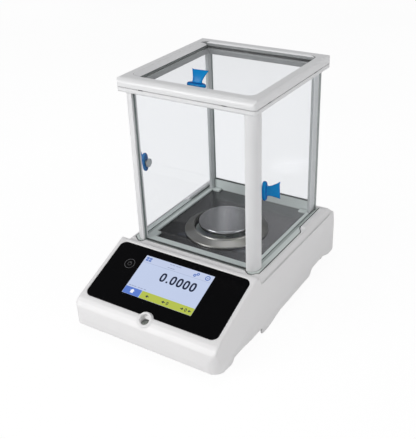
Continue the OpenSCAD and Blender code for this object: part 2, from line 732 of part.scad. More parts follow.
// stud with its knurled wheel
module foot_screw() at(rear_foot, 0) difference() {
  union() {
    rod(axis, 4, wheel_radius, 4.4);
    rod(axis, 8, stud_radius, 24);
    rod(axis, 2.2, 3, 3);
  }
  for (a = [0:15:345]) rotate([0, 0, a]) rod([wheel_radius + 0.5, 0], 3, 1, 7);
}
module foot_pad() at(rear_foot, 0) difference() {
  cylinder(r = 11, h = 3.9);
  rod(axis, 2, 3.05, 3);
}
module rear_left_foot_screw() color("dimgray") left() foot_screw();
module rear_right_foot_screw() color("dimgray") foot_screw();
module rear_left_foot_pad() color("black") left() foot_pad();
module rear_right_foot_pad() color("black") foot_pad();
module front_feet() color("black") both() {
  rod(front_foot, 0, 10, 8);
  rod(front_foot, 0, 2.8, 15);
}
module housing_screws() color("silver") for (p = tower_points) at(p, 20) screw(1.55, 22, 3.6, 3);
module hook_port_cover() color("dimgray") {
  rod(pan_centre, 20.5, 14, 2.5);
  rod(pan_centre, 22, 10.8, 5);
}

upper_housing();
lower_housing();
control_panel_glass();
display_module();
power_key_board();
spirit_level_cup();
spirit_level_vial();
shield_base();
chamber_floor_plate();
draft_ring();
weighing_pan();
pan_support();
front_left_post();
front_right_post();
rear_left_post();
rear_right_post();
post_screws_lower();
post_screws_upper();
top_frame_lower();
top_frame_upper();
top_frame_clips();
front_glass();
rear_glass();
left_door_glass();
right_door_glass();
top_door_glass();
left_door_handle();
right_door_handle();
top_door_handle();
left_handle_cap();
right_handle_cap();
top_handle_cap();
cell_mounting_plate();
force_cell_block();
magnet_system();
force_coil();
position_sensor();
cell_screws();
calibration_weight();
weight_lifter();
lifter_spindle();
lifter_motor();
lifter_bracket();
main_board();
board_spacers();
display_cable();
connector_board();
serial_port();
usb_ports();
power_jack();
foot_inserts();
rear_left_foot_screw();
rear_right_foot_screw();
rear_left_foot_pad();
rear_right_foot_pad();
front_feet();
housing_screws();
hook_port_cover();
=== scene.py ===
"""Laboratory balance with a glass weighing chamber, its looks built over the CAD pieces.

Metres, +Z up, standing on z = 0. The sloping console faces the front (-Y), the sockets
are in the back wall (+Y), left is -X and right is +X.
"""
import bpy
import bmesh
import math
import numpy as np
from contextlib import contextmanager
from mathutils import Matrix, Vector

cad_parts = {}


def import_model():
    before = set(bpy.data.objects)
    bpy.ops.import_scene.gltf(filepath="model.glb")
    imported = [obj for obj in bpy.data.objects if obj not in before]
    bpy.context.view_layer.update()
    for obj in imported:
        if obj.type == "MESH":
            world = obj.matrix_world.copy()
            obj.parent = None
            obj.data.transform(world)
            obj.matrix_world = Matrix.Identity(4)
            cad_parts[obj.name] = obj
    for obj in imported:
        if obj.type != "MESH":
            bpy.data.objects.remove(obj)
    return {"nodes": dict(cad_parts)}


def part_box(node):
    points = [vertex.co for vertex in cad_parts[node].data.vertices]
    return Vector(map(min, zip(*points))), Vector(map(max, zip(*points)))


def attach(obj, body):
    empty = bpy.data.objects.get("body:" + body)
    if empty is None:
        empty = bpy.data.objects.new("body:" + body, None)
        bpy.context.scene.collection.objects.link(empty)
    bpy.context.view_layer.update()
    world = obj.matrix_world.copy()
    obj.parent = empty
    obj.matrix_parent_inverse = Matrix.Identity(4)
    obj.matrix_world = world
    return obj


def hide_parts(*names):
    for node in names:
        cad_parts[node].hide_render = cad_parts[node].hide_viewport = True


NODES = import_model()["nodes"]
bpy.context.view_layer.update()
SCENE = bpy.context.scene
MM = 0.001

# The console slope rises to the rear from its lower front edge.
CONSOLE_TILT = math.radians(21.86)
CONSOLE_Y, CONSOLE_Z = -0.1583, 0.0529


# ------------------------------------------------------------ mesh helpers

@contextmanager
def editing(mesh):
    """Opens a mesh as a bmesh and writes it back."""
    edit = bmesh.new()
    edit.from_mesh(mesh)
    yield edit
    edit.to_mesh(mesh)
    edit.free()


def new_mesh(name, vertices, faces):
    mesh = bpy.data.meshes.new(name)
    mesh.from_pydata(vertices, [], faces)
    mesh.validate()
    return mesh


def new_object(name, data):
    item = bpy.data.objects.new(name, data)
    SCENE.collection.objects.link(item)
    return item


def piece(name, mesh, body, material, smooth=True):
    with editing(mesh) as edit:
        bmesh.ops.remove_doubles(edit, verts=edit.verts, dist=1e-7)
        bmesh.ops.recalc_face_normals(edit, faces=edit.faces)
        for face in edit.faces:
            face.smooth = smooth
    mesh.materials.clear()
    mesh.materials.append(material)
    item = new_object(name, mesh)
    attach(item, body)
    return item


def sharpen(item, degrees):
    """Marks edges over an angle as sharp, so that flat faces stay flat."""
    limit = math.radians(degrees)
    with editing(item.data) as edit:
        for edge in edit.edges:
            folded = len(edge.link_faces) == 2 and edge.calc_face_angle(0) > limit
            edge.smooth = not folded


def bevel(item, width, degrees):
    modifier = item.modifiers.new("soft_edge", "BEVEL")
    modifier.width = width
    modifier.segments = 2
    modifier.limit_method = "ANGLE"
    modifier.angle_limit = math.radians(degrees)
    modifier.use_clamp_overlap = True
    modifier.harden_normals = True


def modified(mesh, kind, **settings):
    """The mesh that one modifier makes of a mesh."""
    carrier = new_object("tmp", mesh)
    modifier = carrier.modifiers.new("tmp", kind)
    for key, value in settings.items():
        setattr(modifier, key, value)
    depsgraph = bpy.context.evaluated_depsgraph_get()
    bpy.context.view_layer.update()
    result = bpy.data.meshes.new_from_object(carrier.evaluated_get(depsgraph))
    bpy.data.objects.remove(carrier)
    return result


def remesh(mesh, voxel):
    return modified(mesh, "REMESH", mode="VOXEL", voxel_size=voxel, use_smooth_shade=True)


def read_points(mesh):
    points = np.empty(len(mesh.vertices) * 3, np.float32)
    mesh.vertices.foreach_get("co", points)
    return points.reshape(-1, 3)


def write_points(mesh, points):
    mesh.vertices.foreach_set("co", points.astype(np.float32).ravel())
    mesh.update()


def smooth_mesh(mesh, softness, steps):
    """Moves each point toward the mean of its neighbours by each step in turn.

    softness(points) scales the movement of each point; a negative step moves it back.
    """
    points = read_points(mesh).astype(np.float64)
    count = len(points)
    ends = np.empty(len(mesh.edges) * 2, np.int32)
    mesh.edges.foreach_get("vertices", ends)
    ends = ends.reshape(-1, 2)
    neighbours = np.bincount(ends.ravel(), minlength=count).clip(1)[:, None]
    weight = softness(points)[:, None]
    for step in steps:
        total = np.zeros_like(points)
        for k in range(3):
            total[:, k] = (np.bincount(ends[:, 0], points[ends[:, 1], k], count)
                           + np.bincount(ends[:, 1], points[ends[:, 0], k], count))
        points += (total / neighbours - points) * step * weight
    write_points(mesh, points)


def lathe(name, profile, centre, body, material, segments=160):
    """Turns (radius, z) points about a vertical axis.

    A profile that starts on the axis is open and ends there; any other is a closed loop.
    """
    vertices, faces, rings = [], [], []
    for radius, z in profile:
        start = len(vertices)
        if radius < 1e-7:
            vertices.append((centre[0], centre[1], z))
        else:
            for k in range(segments):
                angle = 2 * math.pi * k / segments
                vertices.append((centre[0] + radius * math.cos(angle),
                                 centre[1] + radius * math.sin(angle), z))
        rings.append(range(start, len(vertices)))
    following = rings[1:] if len(rings[0]) == 1 else rings[1:] + rings[:1]
    for low, high in zip(rings, following):
        for k in range(segments):
            k2 = (k + 1) % segments
            if len(low) == 1:
                faces.append((low[0], high[k], high[k2]))
            elif len(high) == 1:
                faces.append((low[k], high[0], low[k2]))
            else:
                faces.append((low[k], high[k], high[k2], low[k2]))
    return piece(name, new_mesh(name, vertices, faces), body, material)


def at_height(base, points):
    """Profile points in mm above a base height, as metres."""
    return [(radius * MM, base + z * MM) for radius, z in points]


def rounded_profile(points, reach, closed=True):
    """Replaces each corner by a quadratic curve that starts up to reach before it."""
    steps = 3
    rounded = []
    for i, point in enumerate(points):
        if not closed and i in (0, len(points) - 1):
            rounded.append(point)
            continue
        corner = np.array(point, float)

        def toward(neighbour):
            way = np.array(neighbour, float) - corner
            length = np.linalg.norm(way)
            return corner + way / length * min(reach, length * 0.45)

        start = toward(points[i - 1])
        end = toward(points[(i + 1) % len(points)])
        for k in range(steps + 1):
            t = k / steps
            curve = (1 - t) ** 2 * start + 2 * t * (1 - t) * corner + t * t * end
            rounded.append(tuple(curve))
    return rounded


def loft(vertices, faces, rings):
    """Adds a capped skin over rings of equal point count."""
    base, count = len(vertices), len(rings[0])
    for ring in rings:
        vertices.extend(ring)
    for i in range(len(rings) - 1):
        for k in range(count):
            a = base + i * count + k
            b = base + i * count + (k + 1) % count
            faces.append((a, b, b + count, a + count))
    last = base + (len(rings) - 1) * count
    faces.append(tuple(base + k for k in reversed(range(count))))
    faces.append(tuple(last + k for k in range(count)))


def oval(x, y, radius_x, radius_y, count=48, power=2.0):
    """Superellipse outline; power 2 is an ellipse and more is squarer."""
    points = []
    for k in range(count):
        angle = 2 * math.pi * k / count
        c, s = math.cos(angle), math.sin(angle)
        points.append((x + math.copysign(abs(c) ** (2 / power), c) * radius_x,
                       y + math.copysign(abs(s) ** (2 / power), s) * radius_y))
    return points


def box_mesh(name, boxes):
    """One mesh of boxes, each (x0, y0, z0, x1, y1, z1) in mm."""
    sides = ((0, 1, 3, 2), (4, 6, 7, 5), (0, 4, 5, 1), (2, 3, 7, 6), (0, 2, 6, 4), (1, 5, 7, 3))
    vertices, faces = [], []
    for x0, y0, z0, x1, y1, z1 in boxes:
        base = len(vertices)
        vertices += [(x * MM, y * MM, z * MM) for x in (x0, x1) for y in (y0, y1) for z in (z0, z1)]
        faces += [tuple(base + k for k in side) for side in sides]
    return new_mesh(name, vertices, faces)


# --------------------------------------------------------- shader builder

class Shader:
    """Builds the node tree of a material or world; its methods pass sockets on."""

    def __init__(self, owner):
        self.owner = owner
        owner.use_nodes = True
        self.tree = owner.node_tree
        self.tree.nodes.clear()

    def node(self, kind, inputs=None, **settings):
        """Adds a node; inputs maps a socket name or index to a socket or a value."""
        node = self.tree.nodes.new("ShaderNode" + kind)
        for key, value in settings.items():
            setattr(node, key, value)
        for key, value in (inputs or {}).items():
            socket = node.inputs[key]
            if hasattr(value, "links"):
                self.tree.links.new(value, socket)
            elif socket.type == "RGBA":
                socket.default_value = (*value, 1)
            else:
                socket.default_value = value
        return node

    def add(self, kind, inputs=None, output=0, **settings):
        """Adds a node and returns one of its outputs."""
        return self.node(kind, inputs, **settings).outputs[output]

    def finish(self, surface, kind="OutputMaterial"):
        self.node(kind, {"Surface": surface})
        return self.owner

    def coord(self):
        return self.add("TexCoord", output="Object")

    def noise(self, scale, detail=3.0, roughness=0.55, vector=None):
        return self.add("TexNoise", {"Scale": scale, "Detail": detail, "Roughness": roughness,
                                     "Vector": vector or self.coord()}, output="Fac")

    def remap(self, value, low, high, start=0.0, end=1.0):
        """Maps start..end onto low..high, clamped."""
        return self.add("MapRange", {"From Min": start, "From Max": end, "To Min": low,
                                     "To Max": high, "Value": value}, output="Result")

    def mix(self, factor, first, second, **settings):
        return self.add("Mix", {0: factor, 6: first, 7: second}, output=2,
                        data_type="RGBA", **settings)

    def mix_shader(self, factor, first, second):
        return self.add("MixShader", {0: factor, 1: first, 2: second})

    def math(self, operation, first, second=None):
        inputs = {0: first} if second is None else {0: first, 1: second}
        return self.add("Math", inputs, operation=operation)

    def vector(self, operation, first, second=None):
        inputs = {0: first} if second is None else {0: first, 1: second}
        output = "Value" if operation in ("DOT_PRODUCT", "LENGTH") else 0
        return self.add("VectorMath", inputs, output=output, operation=operation)

    def stretched(self, scale):
        return self.add("Mapping", {"Scale": scale, "Vector": self.coord()})

    def bump(self, height, strength, distance, normal=None):
        inputs = {"Strength": strength, "Distance": distance, "Height": height}
        if normal:
            inputs["Normal"] = normal
        return self.add("Bump", inputs, output="Normal")

    def principled(self, inputs):
        return self.add("BsdfPrincipled", inputs)


def new_shader(name):
    return Shader(bpy.data.materials.new(name))


def scaled(colour, factor):
    return tuple(c * factor for c in colour)


# -------------------------------------------------------------- materials

def plastic(name, colour, roughness=0.38, grain=1800, bump=0.10, coat=0.0, edge_radius=0.0,
            variation=0.03, crevice_shade=0.0, inner=None, rim=None, specular=0.5):
    """Moulded plastic with a fine grain.

    crevice is the reach in metres of painted shade in gaps, inner the colour of painted
    shade on faces that look into the chamber, and rim the colour of painted shade where a
    face is seen edge-on.
    """
    shader = new_shader(name)
    base = shader.mix(shader.noise(scale=14), scaled(colour, 1 - variation), colour)
    if inner:
        # radial direction from the chamber axis against the normal: negative on faces that look
        # into the chamber, which get the inner colour as painted shade
        offset = shader.vector("SUBTRACT", shader.coord(), (0, 0.05, 0))
        radial = shader.vector("MULTIPLY", offset, (1, 1, 0))
        normal = shader.add("NewGeometry", output="True Normal")
        facing_out = shader.vector("DOT_PRODUCT", radial, normal)
        inward_shade = shader.remap(facing_out, low=1.0, high=0.0, start=-0.078, end=-0.066)
        base = shader.mix(inward_shade, base, inner)
    if crevice_shade:
        # painted shade: ambient occlusion darkens the colour in gaps and creases
        openness = shader.add("AmbientOcclusion", {"Distance": crevice_shade}, output="AO", samples=6)
        openness = shader.remap(openness, low=0.0, high=1.0, start=0.22, end=0.74)
        base = shader.mix(openness, scaled(colour, 0.12), base)
    if rim:
        # painted shade: the colour turns to rim where the surface is seen edge-on
        grazing_shade = shader.add("LayerWeight", {"Blend": 0.42}, output="Facing")
        grazing_shade = shader.remap(grazing_shade, low=0.0, high=1.0, start=0.08, end=0.62)
        base = shader.mix(grazing_shade, base, rim)
    edge = None
    if edge_radius:
        edge = shader.add("Bevel", {"Radius": edge_radius}, output="Normal", samples=4)
    return shader.finish(shader.principled({
        "Base Color": base,
        "Roughness": shader.remap(shader.noise(scale=60, detail=2),
                                  low=roughness - 0.05, high=roughness + 0.06),
        "Normal": shader.bump(shader.noise(scale=grain, detail=2), bump,
                              distance=0.00006, normal=edge),
        "Coat Weight": coat, "Coat Roughness": 0.12, "IOR": 1.49,
        "Specular IOR Level": specular}))


def metal(name, colour, roughness=0.28, streak=(1, 1, 1), bump=0.15, centre=None, bands=None):
    """Brushed metal; streak is the axis scale of the brushing.

    centre gives turned marks round a point instead. bands then paints soft reflections, light
    and dark shades, across the disc: (direction, half width, (place, factor) stops).
    """
    shader = new_shader(name)
    if centre:
        x, y, z = shader.node("SeparateXYZ", {
            0: shader.vector("SUBTRACT", shader.coord(), centre)}).outputs
        radius = shader.vector("LENGTH", shader.add("CombineXYZ", {0: x, 1: y}))
        vector = shader.add("CombineXYZ", {0: radius, 2: z})
        marks = shader.noise(scale=2600, roughness=0.6, vector=vector)
    else:
        marks = shader.noise(scale=900, roughness=0.6, vector=shader.stretched(streak))
    base = shader.mix(shader.noise(scale=20), scaled(colour, 1 - 0.12), colour)
    # painted reflection: bands of lighter and darker shade are multiplied into the colour across
    # the disc
    if bands:
        direction, half_width, stops = bands
        offset = shader.vector("SUBTRACT", shader.coord(), centre)
        across = shader.vector("DOT_PRODUCT", offset, direction)
        place = shader.remap(across, low=0.0, high=1.0, start=-half_width, end=half_width)
        reflection_ramp = shader.node("ValToRGB", {0: place})
        reflection_ramp.color_ramp.interpolation = "EASE"
        elements = reflection_ramp.color_ramp.elements
        while len(elements) < len(stops):
            elements.new(0.5)
        for element, (position, factor) in zip(elements, stops):
            element.position = position
            element.color = (factor, factor, factor, 1)
        base = shader.mix(1.0, base, reflection_ramp.outputs[0], blend_type="MULTIPLY")
    return shader.finish(shader.principled({
        "Base Color": base, "Metallic": 1.0,
        "Roughness": shader.remap(marks, low=roughness - 0.06, high=roughness + 0.08),
        "Normal": shader.bump(marks, bump, distance=0.00003)}))


def pane(name, axis):
    """Clear float glass across an axis: see-through faces and dark ground edges."""
    edge_colour = (0.16, 0.20, 0.19)
    shader = new_shader(name)
    clear = shader.add("BsdfTransparent", {"Color": (0.968, 0.972, 0.978)})
    glossy = shader.add("BsdfGlossy", {"Roughness": 0.02, "Color": (1, 1, 1)})
    fresnel = shader.add("Fresnel", {"IOR": 1.3})
    shadow_ray = shader.add("LightPath", output="Is Shadow Ray")
    lit_ray = shader.math("SUBTRACT", 1.0, shadow_ray)
    reflection = shader.math("MULTIPLY", fresnel, lit_ray)
    # only the near side reflects, because a straight-through ray must not be trapped inside
    geometry = shader.node("NewGeometry").outputs
    near_side = shader.math("SUBTRACT", 1.0, geometry["Backfacing"])
    face = shader.mix_shader(shader.math("MULTIPLY", reflection, near_side), clear, glossy)

    rim = shader.mix(shader.noise(scale=220), edge_colour, scaled(edge_colour, 1.5))
    normal = shader.node("SeparateXYZ", {0: geometry["True Normal"]}).outputs
    # top and bottom edges of the upright panes sit in pale rails and carry their pale colour as a
    # painted reflection
    level = shader.math("GREATER_THAN", shader.math("ABSOLUTE", normal[2]), 0.5)
    rim = shader.mix(level, rim, (0.56, 0.63, 0.60))
    edge = shader.principled({"Base Color": rim, "Roughness": 0.3, "Alpha": 0.85})
    on_edge = shader.math("LESS_THAN", shader.math("ABSOLUTE", normal[axis]), 0.5)
    return shader.finish(shader.mix_shader(on_edge, face, edge))


def lit(name, colour, strength=1.0):
    """Display content: an emitter with faint fine bands and an uneven backlight."""
    shader = new_shader(name)
    glow = shader.mix(shader.noise(scale=30, detail=2), scaled(colour, 1 - 0.04), colour)
    bands = shader.add("TexWave", {"Scale": 4200 / 6.283, "Vector": shader.coord()},
                       output="Fac", wave_type="BANDS", bands_direction="X")
    level = shader.math("MULTIPLY", shader.remap(bands, low=0.96, high=1.0), strength)
    return shader.finish(shader.principled({
        "Base Color": (0.01, 0.01, 0.012), "Roughness": 0.12,
        "Emission Color": glow, "Emission Strength": level}))


def floor_plate_steel():
    """Brushed dark plate with a painted reflection: darker towards the front left and lighter
    towards the back right.
    """
    shader = new_shader("stainless_dark")
    marks = shader.noise(scale=900, roughness=0.6, vector=shader.stretched((0.05, 1, 1)))
    # painted reflection: the colour is darker towards the front left and lighter towards the back
    # right
    place = shader.vector("DOT_PRODUCT", shader.coord(), (1.0, 0.45, 0))
    reflection_blend = shader.remap(place, low=0.0, high=1.0, start=-0.085, end=0.085)
    return shader.finish(shader.principled({
        "Base Color": shader.mix(reflection_blend, (0.035, 0.037, 0.037), (0.25, 0.25, 0.26)),
        "Metallic": 1.0,
        "Roughness": shader.remap(marks, low=0.22, high=0.30),
        "Normal": shader.bump(marks, strength=0.05, distance=0.00003)}))


def circuit_board():
    """Green board with lighter lines between its cells."""
    shader = new_shader("circuit_board")
    distance = shader.add("TexVoronoi", {"Scale": 240, "Vector": shader.coord()},
                          output="Distance", feature="DISTANCE_TO_EDGE", distance="MANHATTAN")
    line = shader.math("LESS_THAN", distance, 0.05)
    return shader.finish(shader.principled({
        "Base Color": shader.mix(line, (0.012, 0.115, 0.045), (0.03, 0.20, 0.08)),
        "Roughness": 0.32,
        "Normal": shader.bump(line, strength=0.2, distance=0.00004)}))


def level_fluid():
    shader = new_shader("level_fluid")
    tint = shader.mix(shader.noise(scale=90, detail=2), (0.40, 0.44, 0.40), (0.58, 0.62, 0.56))
    return shader.finish(shader.principled({
        "Base Color": tint, "Roughness": 0.06, "Transmission Weight": 0.35, "IOR": 1.36,
        "Coat Weight": 0.6}))


POST_FINISH = dict(roughness=0.34, coat=0.15, edge_radius=0.0008)
POST_WHITE = (0.84, 0.84, 0.845)
# painted shade darkens the housing in its gaps and creases
HOUSING = plastic("housing_white", (0.875, 0.865, 0.865), roughness=0.36, coat=0.15,
                  edge_radius=0.0022, crevice_shade=0.0030)
# the frame gets painted shade on faces that look into the chamber and in its gaps
TOP_FRAME = plastic("frame_white", POST_WHITE, crevice_shade=0.0012, inner=(0.27, 0.28, 0.28),
                    **POST_FINISH)
FRONT_POST = plastic("front_post_white", POST_WHITE, **POST_FINISH)
# the rear posts, a slightly darker copy of the post white, get painted shade on faces that look
# into the chamber
REAR_POST = plastic("rear_post_white", (0.80, 0.81, 0.81), inner=(0.47, 0.49, 0.49),
                    **POST_FINISH)
# painted shade darkens the shield base in its gaps
SHIELD = plastic("shield_plastic", (0.70, 0.755, 0.73), roughness=0.45, edge_radius=0.0005,
                 crevice_shade=0.0035)
LOWER_GREY = plastic("pan_grey_plastic", (0.70, 0.71, 0.72), roughness=0.55, bump=0.25)
CLIP = plastic("clip_grey", (0.10, 0.10, 0.105), roughness=0.5)
# the handles darken to a painted shade where they are seen edge-on
BLUE = plastic("handle_blue", (0.002, 0.275, 0.68), roughness=0.26, grain=900, bump=0.03,
               coat=0.12, edge_radius=0.0004, variation=0.22, rim=(0.0, 0.055, 0.30),
               specular=0.12)
CAP_GREY = plastic("cap_grey", (0.52, 0.55, 0.56), roughness=0.35, edge_radius=0.0004)
BLACK = plastic("black_plastic", (0.035, 0.035, 0.038), roughness=0.5, bump=0.2)
RUBBER = plastic("rubber_black", (0.022, 0.022, 0.023), roughness=0.85, grain=900, bump=0.4)
LEVEL_BODY = plastic("level_body", (0.16, 0.17, 0.175), roughness=0.4)
CABLE = plastic("cable_white", (0.74, 0.74, 0.70), roughness=0.5)
PANEL_GLASS = plastic("panel_glass", (0.0035, 0.0035, 0.004), roughness=0.09, grain=300,
                      bump=0.0, specular=0.05)
DARK_STEEL = floor_plate_steel()
ALUMINIUM = metal("aluminium", (0.72, 0.73, 0.75), roughness=0.34, streak=(1, 0.06, 1))
MAGNET = plastic("magnet_steel", (0.12, 0.125, 0.135), roughness=0.35, bump=0.15)
COPPER = metal("copper_coil", (0.72, 0.36, 0.17), roughness=0.36, streak=(0.1, 0.1, 3), bump=0.6)
SCREW = metal("steel_screw", (0.58, 0.58, 0.60), roughness=0.26)
BRASS = metal("brass_insert", (0.78, 0.58, 0.26), roughness=0.28)
STEEL = metal("stainless", (0.60, 0.60, 0.61), roughness=0.22, streak=(1, 1, 0.1))
BOARD = circuit_board()
FLUID = level_fluid()
SIDE_PANE = pane("clear_glass_side", axis=0)
FRONT_PANE = pane("clear_glass_front", axis=1)
TOP_PANE = pane("clear_glass_top", axis=2)


# ------------------------------------------------------------- CAD pieces

# material, then the CAD pieces that wear it
PIECE_MATERIALS = (
    (LOWER_GREY, "lower_housing"),
    (PANEL_GLASS, "control_panel_glass"),
    (CLIP, "display_module top_frame_clips"),
    (BOARD, "power_key_board position_sensor main_board connector_board"),
    (LEVEL_BODY, "spirit_level_cup"),
    (FLUID, "spirit_level_vial"),
    (SHIELD, "shield_base"),
    (DARK_STEEL, "chamber_floor_plate"),
    (ALUMINIUM, "pan_support cell_mounting_plate force_cell_block lifter_bracket"),
    (FRONT_POST, "front_left_post front_right_post"),
    (REAR_POST, "rear_left_post rear_right_post"),
    (SCREW, "post_screws_lower post_screws_upper cell_screws lifter_spindle board_spacers"
            " housing_screws"),
    (TOP_FRAME, "top_frame_lower top_frame_upper"),
    (FRONT_PANE, "front_glass rear_glass"),
    (SIDE_PANE, "left_door_glass right_door_glass"),
    (TOP_PANE, "top_door_glass"),
    (CAP_GREY, "left_handle_cap right_handle_cap top_handle_cap"),
    (MAGNET, "magnet_system lifter_motor"),
    (COPPER, "force_coil"),
    (STEEL, "calibration_weight serial_port usb_ports"),
    (BLACK, "weight_lifter power_jack rear_left_foot_screw rear_right_foot_screw"
            " hook_port_cover"),
    (CABLE, "display_cable"),
    (BRASS, "foot_inserts"),
    (RUBBER, "rear_left_foot_pad rear_right_foot_pad front_feet"),
)

# bevel width in mm, then the visible structural parts that get it
SOFT_EDGES = (
    (0.5, "front_left_post front_right_post shield_base hook_port_cover"
          " left_handle_cap right_handle_cap top_handle_cap"),
    (0.4, "rear_left_post rear_right_post"),
    (0.35, "control_panel_glass"),
    (0.3, "top_frame_lower"),
)


def dress_cad_pieces():
    for material, names in PIECE_MATERIALS:
        for name in names.split():
            item = NODES[name]
            if not item.data.materials:
                item.data.materials.append(material)
            for slot in item.material_slots:
                slot.link = "OBJECT"
                slot.material = material
    for width, names in SOFT_EDGES:
        for name in names.split():
            weld = NODES[name].modifiers.new("weld", "WELD")
            weld.merge_threshold = 1e-5
            bevel(NODES[name], width * MM, degrees=35)


# ----------------------------------------------------------- upper housing

# step line beside the deck as (distance from the middle, y): it turns in front of the
# post feet and runs to the rear
GROOVE_PATH = np.array([
    (0.0900, -0.0545), (0.0965, -0.0560), (0.1020, -0.0572), (0.1060, -0.0560),
    (0.1083, -0.0520), (0.1086, -0.0460), (0.1086, 0.1500), (0.1080, 0.1560)])
GROOVE_DEPTH = 0.0012
GROOVE_WIDTH = 0.00075
GROOVE_REACH = 0.0020
DECK_LEDGE_Z = 0.0750      # only points above this are grooved
CHANNEL_FLOOR_Z = 0.0831   # highest floor of a door channel
VENT_COUNT, VENT_X, VENT_PITCH, VENT_WIDTH = 9, 52, 4.4, 2   # mm


def housing_softness(points):
    """Share of the smoothing that each point of the housing takes; later regions win."""
    x, y, z = points.T
    side = np.abs(x)
    along = (y - CONSOLE_Y) * math.cos(CONSOLE_TILT) + (z - CONSOLE_Z) * math.sin(CONSOLE_TILT)
    above = -(y - CONSOLE_Y) * math.sin(CONSOLE_TILT) + (z - CONSOLE_Z) * math.cos(CONSOLE_TILT)
    well = (z > 0.076) & (side < 0.1008) & (y > -0.052) & (y < 0.154)
    regions = (
        # seat of the shield base and the door channels
        (0.06, well),
        # vents and socket openings in the back wall
        (0.04, (y > 0.164) & (z > 0.034) & (z < 0.057) & (x > -0.080) & (x < 0.096)),
        # rear part of the door channels
        (0.04, (side > 0.084) & (side < 0.0945) & (y > 0.090) & (z > 0.079)),
        # ledge beside the deck, which keeps its crease
        (0.30, ~well & (z > 0.0745) & (side < 0.1125) & (y > -0.060)),
        # recess of the touch panel
        (0.25, (side < 0.1032) & (along > -0.0005) & (along < 0.0958) & (above > -0.006)),
        # pocket of the level
        (0.18, (side < 0.012) & (y < -0.148) & (z > 0.036)),
    )
    softness = np.ones(len(points))
    for value, region in regions:
        softness[region] = value
    return softness


def lower_front_softness(points):
    return np.where((points[:, 1] < -0.160) & (points[:, 2] < 0.040), 0.6, 0.0)


def press_groove(mesh):
    """Presses the fine step line into the ledge."""
    points = read_points(mesh)
    side, y = np.abs(points[:, 0]), points[:, 1]
    distance = np.full(len(points), 9.0)
    for start, end in zip(GROOVE_PATH[:-1], GROOVE_PATH[1:]):
        step = end - start
        t = ((side - start[0]) * step[0] + (y - start[1]) * step[1]) / (step ** 2).sum()
        t = np.clip(t, 0, 1)
        distance = np.minimum(distance, np.hypot(side - start[0] - t * step[0],
                                                 y - start[1] - t * step[1]))
    near = (points[:, 2] > DECK_LEDGE_Z) & (distance < GROOVE_REACH)
    depth = GROOVE_DEPTH * np.exp(-(distance[near] / GROOVE_WIDTH) ** 2)
    points[near, 2] -= depth.astype(np.float32)
    write_points(mesh, points)


def lower_channel_floors(mesh):
    """Keeps the floor of each door channel below the sliding pane."""
    points = read_points(mesh)
    side = np.abs(points[:, 0])
    high = ((side > 0.0864) & (side < 0.0921) & (points[:, 1] > 0.098)
            & (points[:, 2] > CHANNEL_FLOOR_Z))
    points[high, 2] = CHANNEL_FLOOR_Z
    write_points(mesh, points)


def cut_vents(mesh):
    """Cuts again, at true size, the vents too fine for the remeshed shell."""
    slots = []
    for k in range(VENT_COUNT):
        shift = VENT_PITCH * k
        slots.append((VENT_X + shift, 160, 36, VENT_X + VENT_WIDTH + shift, 190, 54))
    cutter_mesh = box_mesh("vent_cut", slots)
    with editing(cutter_mesh) as edit:
        bmesh.ops.recalc_face_normals(edit, faces=edit.faces)
    cutter = new_object("vent_cut", cutter_mesh)
    result = modified(mesh, "BOOLEAN", operation="DIFFERENCE", object=cutter, solver="EXACT")
    bpy.data.objects.remove(cutter)
    return result


def build_housing():
    mesh = NODES["upper_housing"].data.copy()
    with editing(mesh) as edit:
        bmesh.ops.remove_doubles(edit, verts=edit.verts, dist=1e-6)
    mesh = remesh(mesh, voxel=0.0010)
    # each step is followed by a slightly larger step back, so the shape does not shrink
    smooth_mesh(mesh, housing_softness, [0.5, -0.53] * (40))
    smooth_mesh(mesh, lower_front_softness, [0.5] * 6)
    press_groove(mesh)
    mesh = modified(mesh, "DECIMATE", ratio=0.26)
    lower_channel_floors(mesh)
    shell = piece("housing_shell", cut_vents(mesh), "base", HOUSING)
    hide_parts("upper_housing")


# ----------------------------------------------------------------- handles

# oval foot of the handle, mm: half length (x), half width (y), z
FOOT_RINGS = (
    (12.6, 4.4, 0), (13.2, 4.9, 0.5), (13.4, 5.0, 1.6), (13.3, 4.9, 3.0),
    (12.8, 4.4, 3.9), (11.8, 3.6, 4.5), (9.5, 2.2, 4.8))
FIN_START = (0.4, 1.2)     # y, z of the fin's first ring, mm
FIN_LENGTH = 19.2          # mm along the fin
FIN_STEPS = 26
FLARE_START = 5.0          # mm along the fin
FIN_WIDTH, NECK_WIDTH, FLARE_WIDTH = 6.4, 3.6, 5.9     # half widths that add up, mm
FIN_THICK, NECK_THICK, TIP_THICK = 1.35, 1.5, 0.25     # half thicknesses that add up, mm
FIN_DIP = 2.5              # rise of the end's corners over its middle, mm


def fin_rings():
    """Rings of the flared fin, from the neck up; it leans to +Y."""
    rings = []
    y, z = FIN_START
    for i in range(FIN_STEPS + 1):
        t = i / FIN_STEPS
        along = FIN_LENGTH * t
        flare = max(0.0, (along - FLARE_START) / (FIN_LENGTH - FLARE_START)) ** 1.35
        half_width = FIN_WIDTH + NECK_WIDTH * math.exp(-along / 2.6) + FLARE_WIDTH * flare
        half_thick = FIN_THICK + NECK_THICK * math.exp(-along / 2.4) + TIP_THICK * t
        lean = math.radians(16 + 24 * t ** 0.8)   # from 16 to 40 degrees
        sin, cos = math.sin(lean), math.cos(lean)
        if i > 0:
            y += FIN_LENGTH / FIN_STEPS * sin
            z += FIN_LENGTH / FIN_STEPS * cos
        ring = []
        for x, across in oval(0, 0, half_width, half_thick, count=48, power=3.2):
            dip = FIN_DIP * t ** 2 * ((x / half_width) ** 2 - 0.55)
            ring.append((x, y + across * cos + dip * sin, z - across * sin + dip * cos))
        rings.append(ring)
    return rings


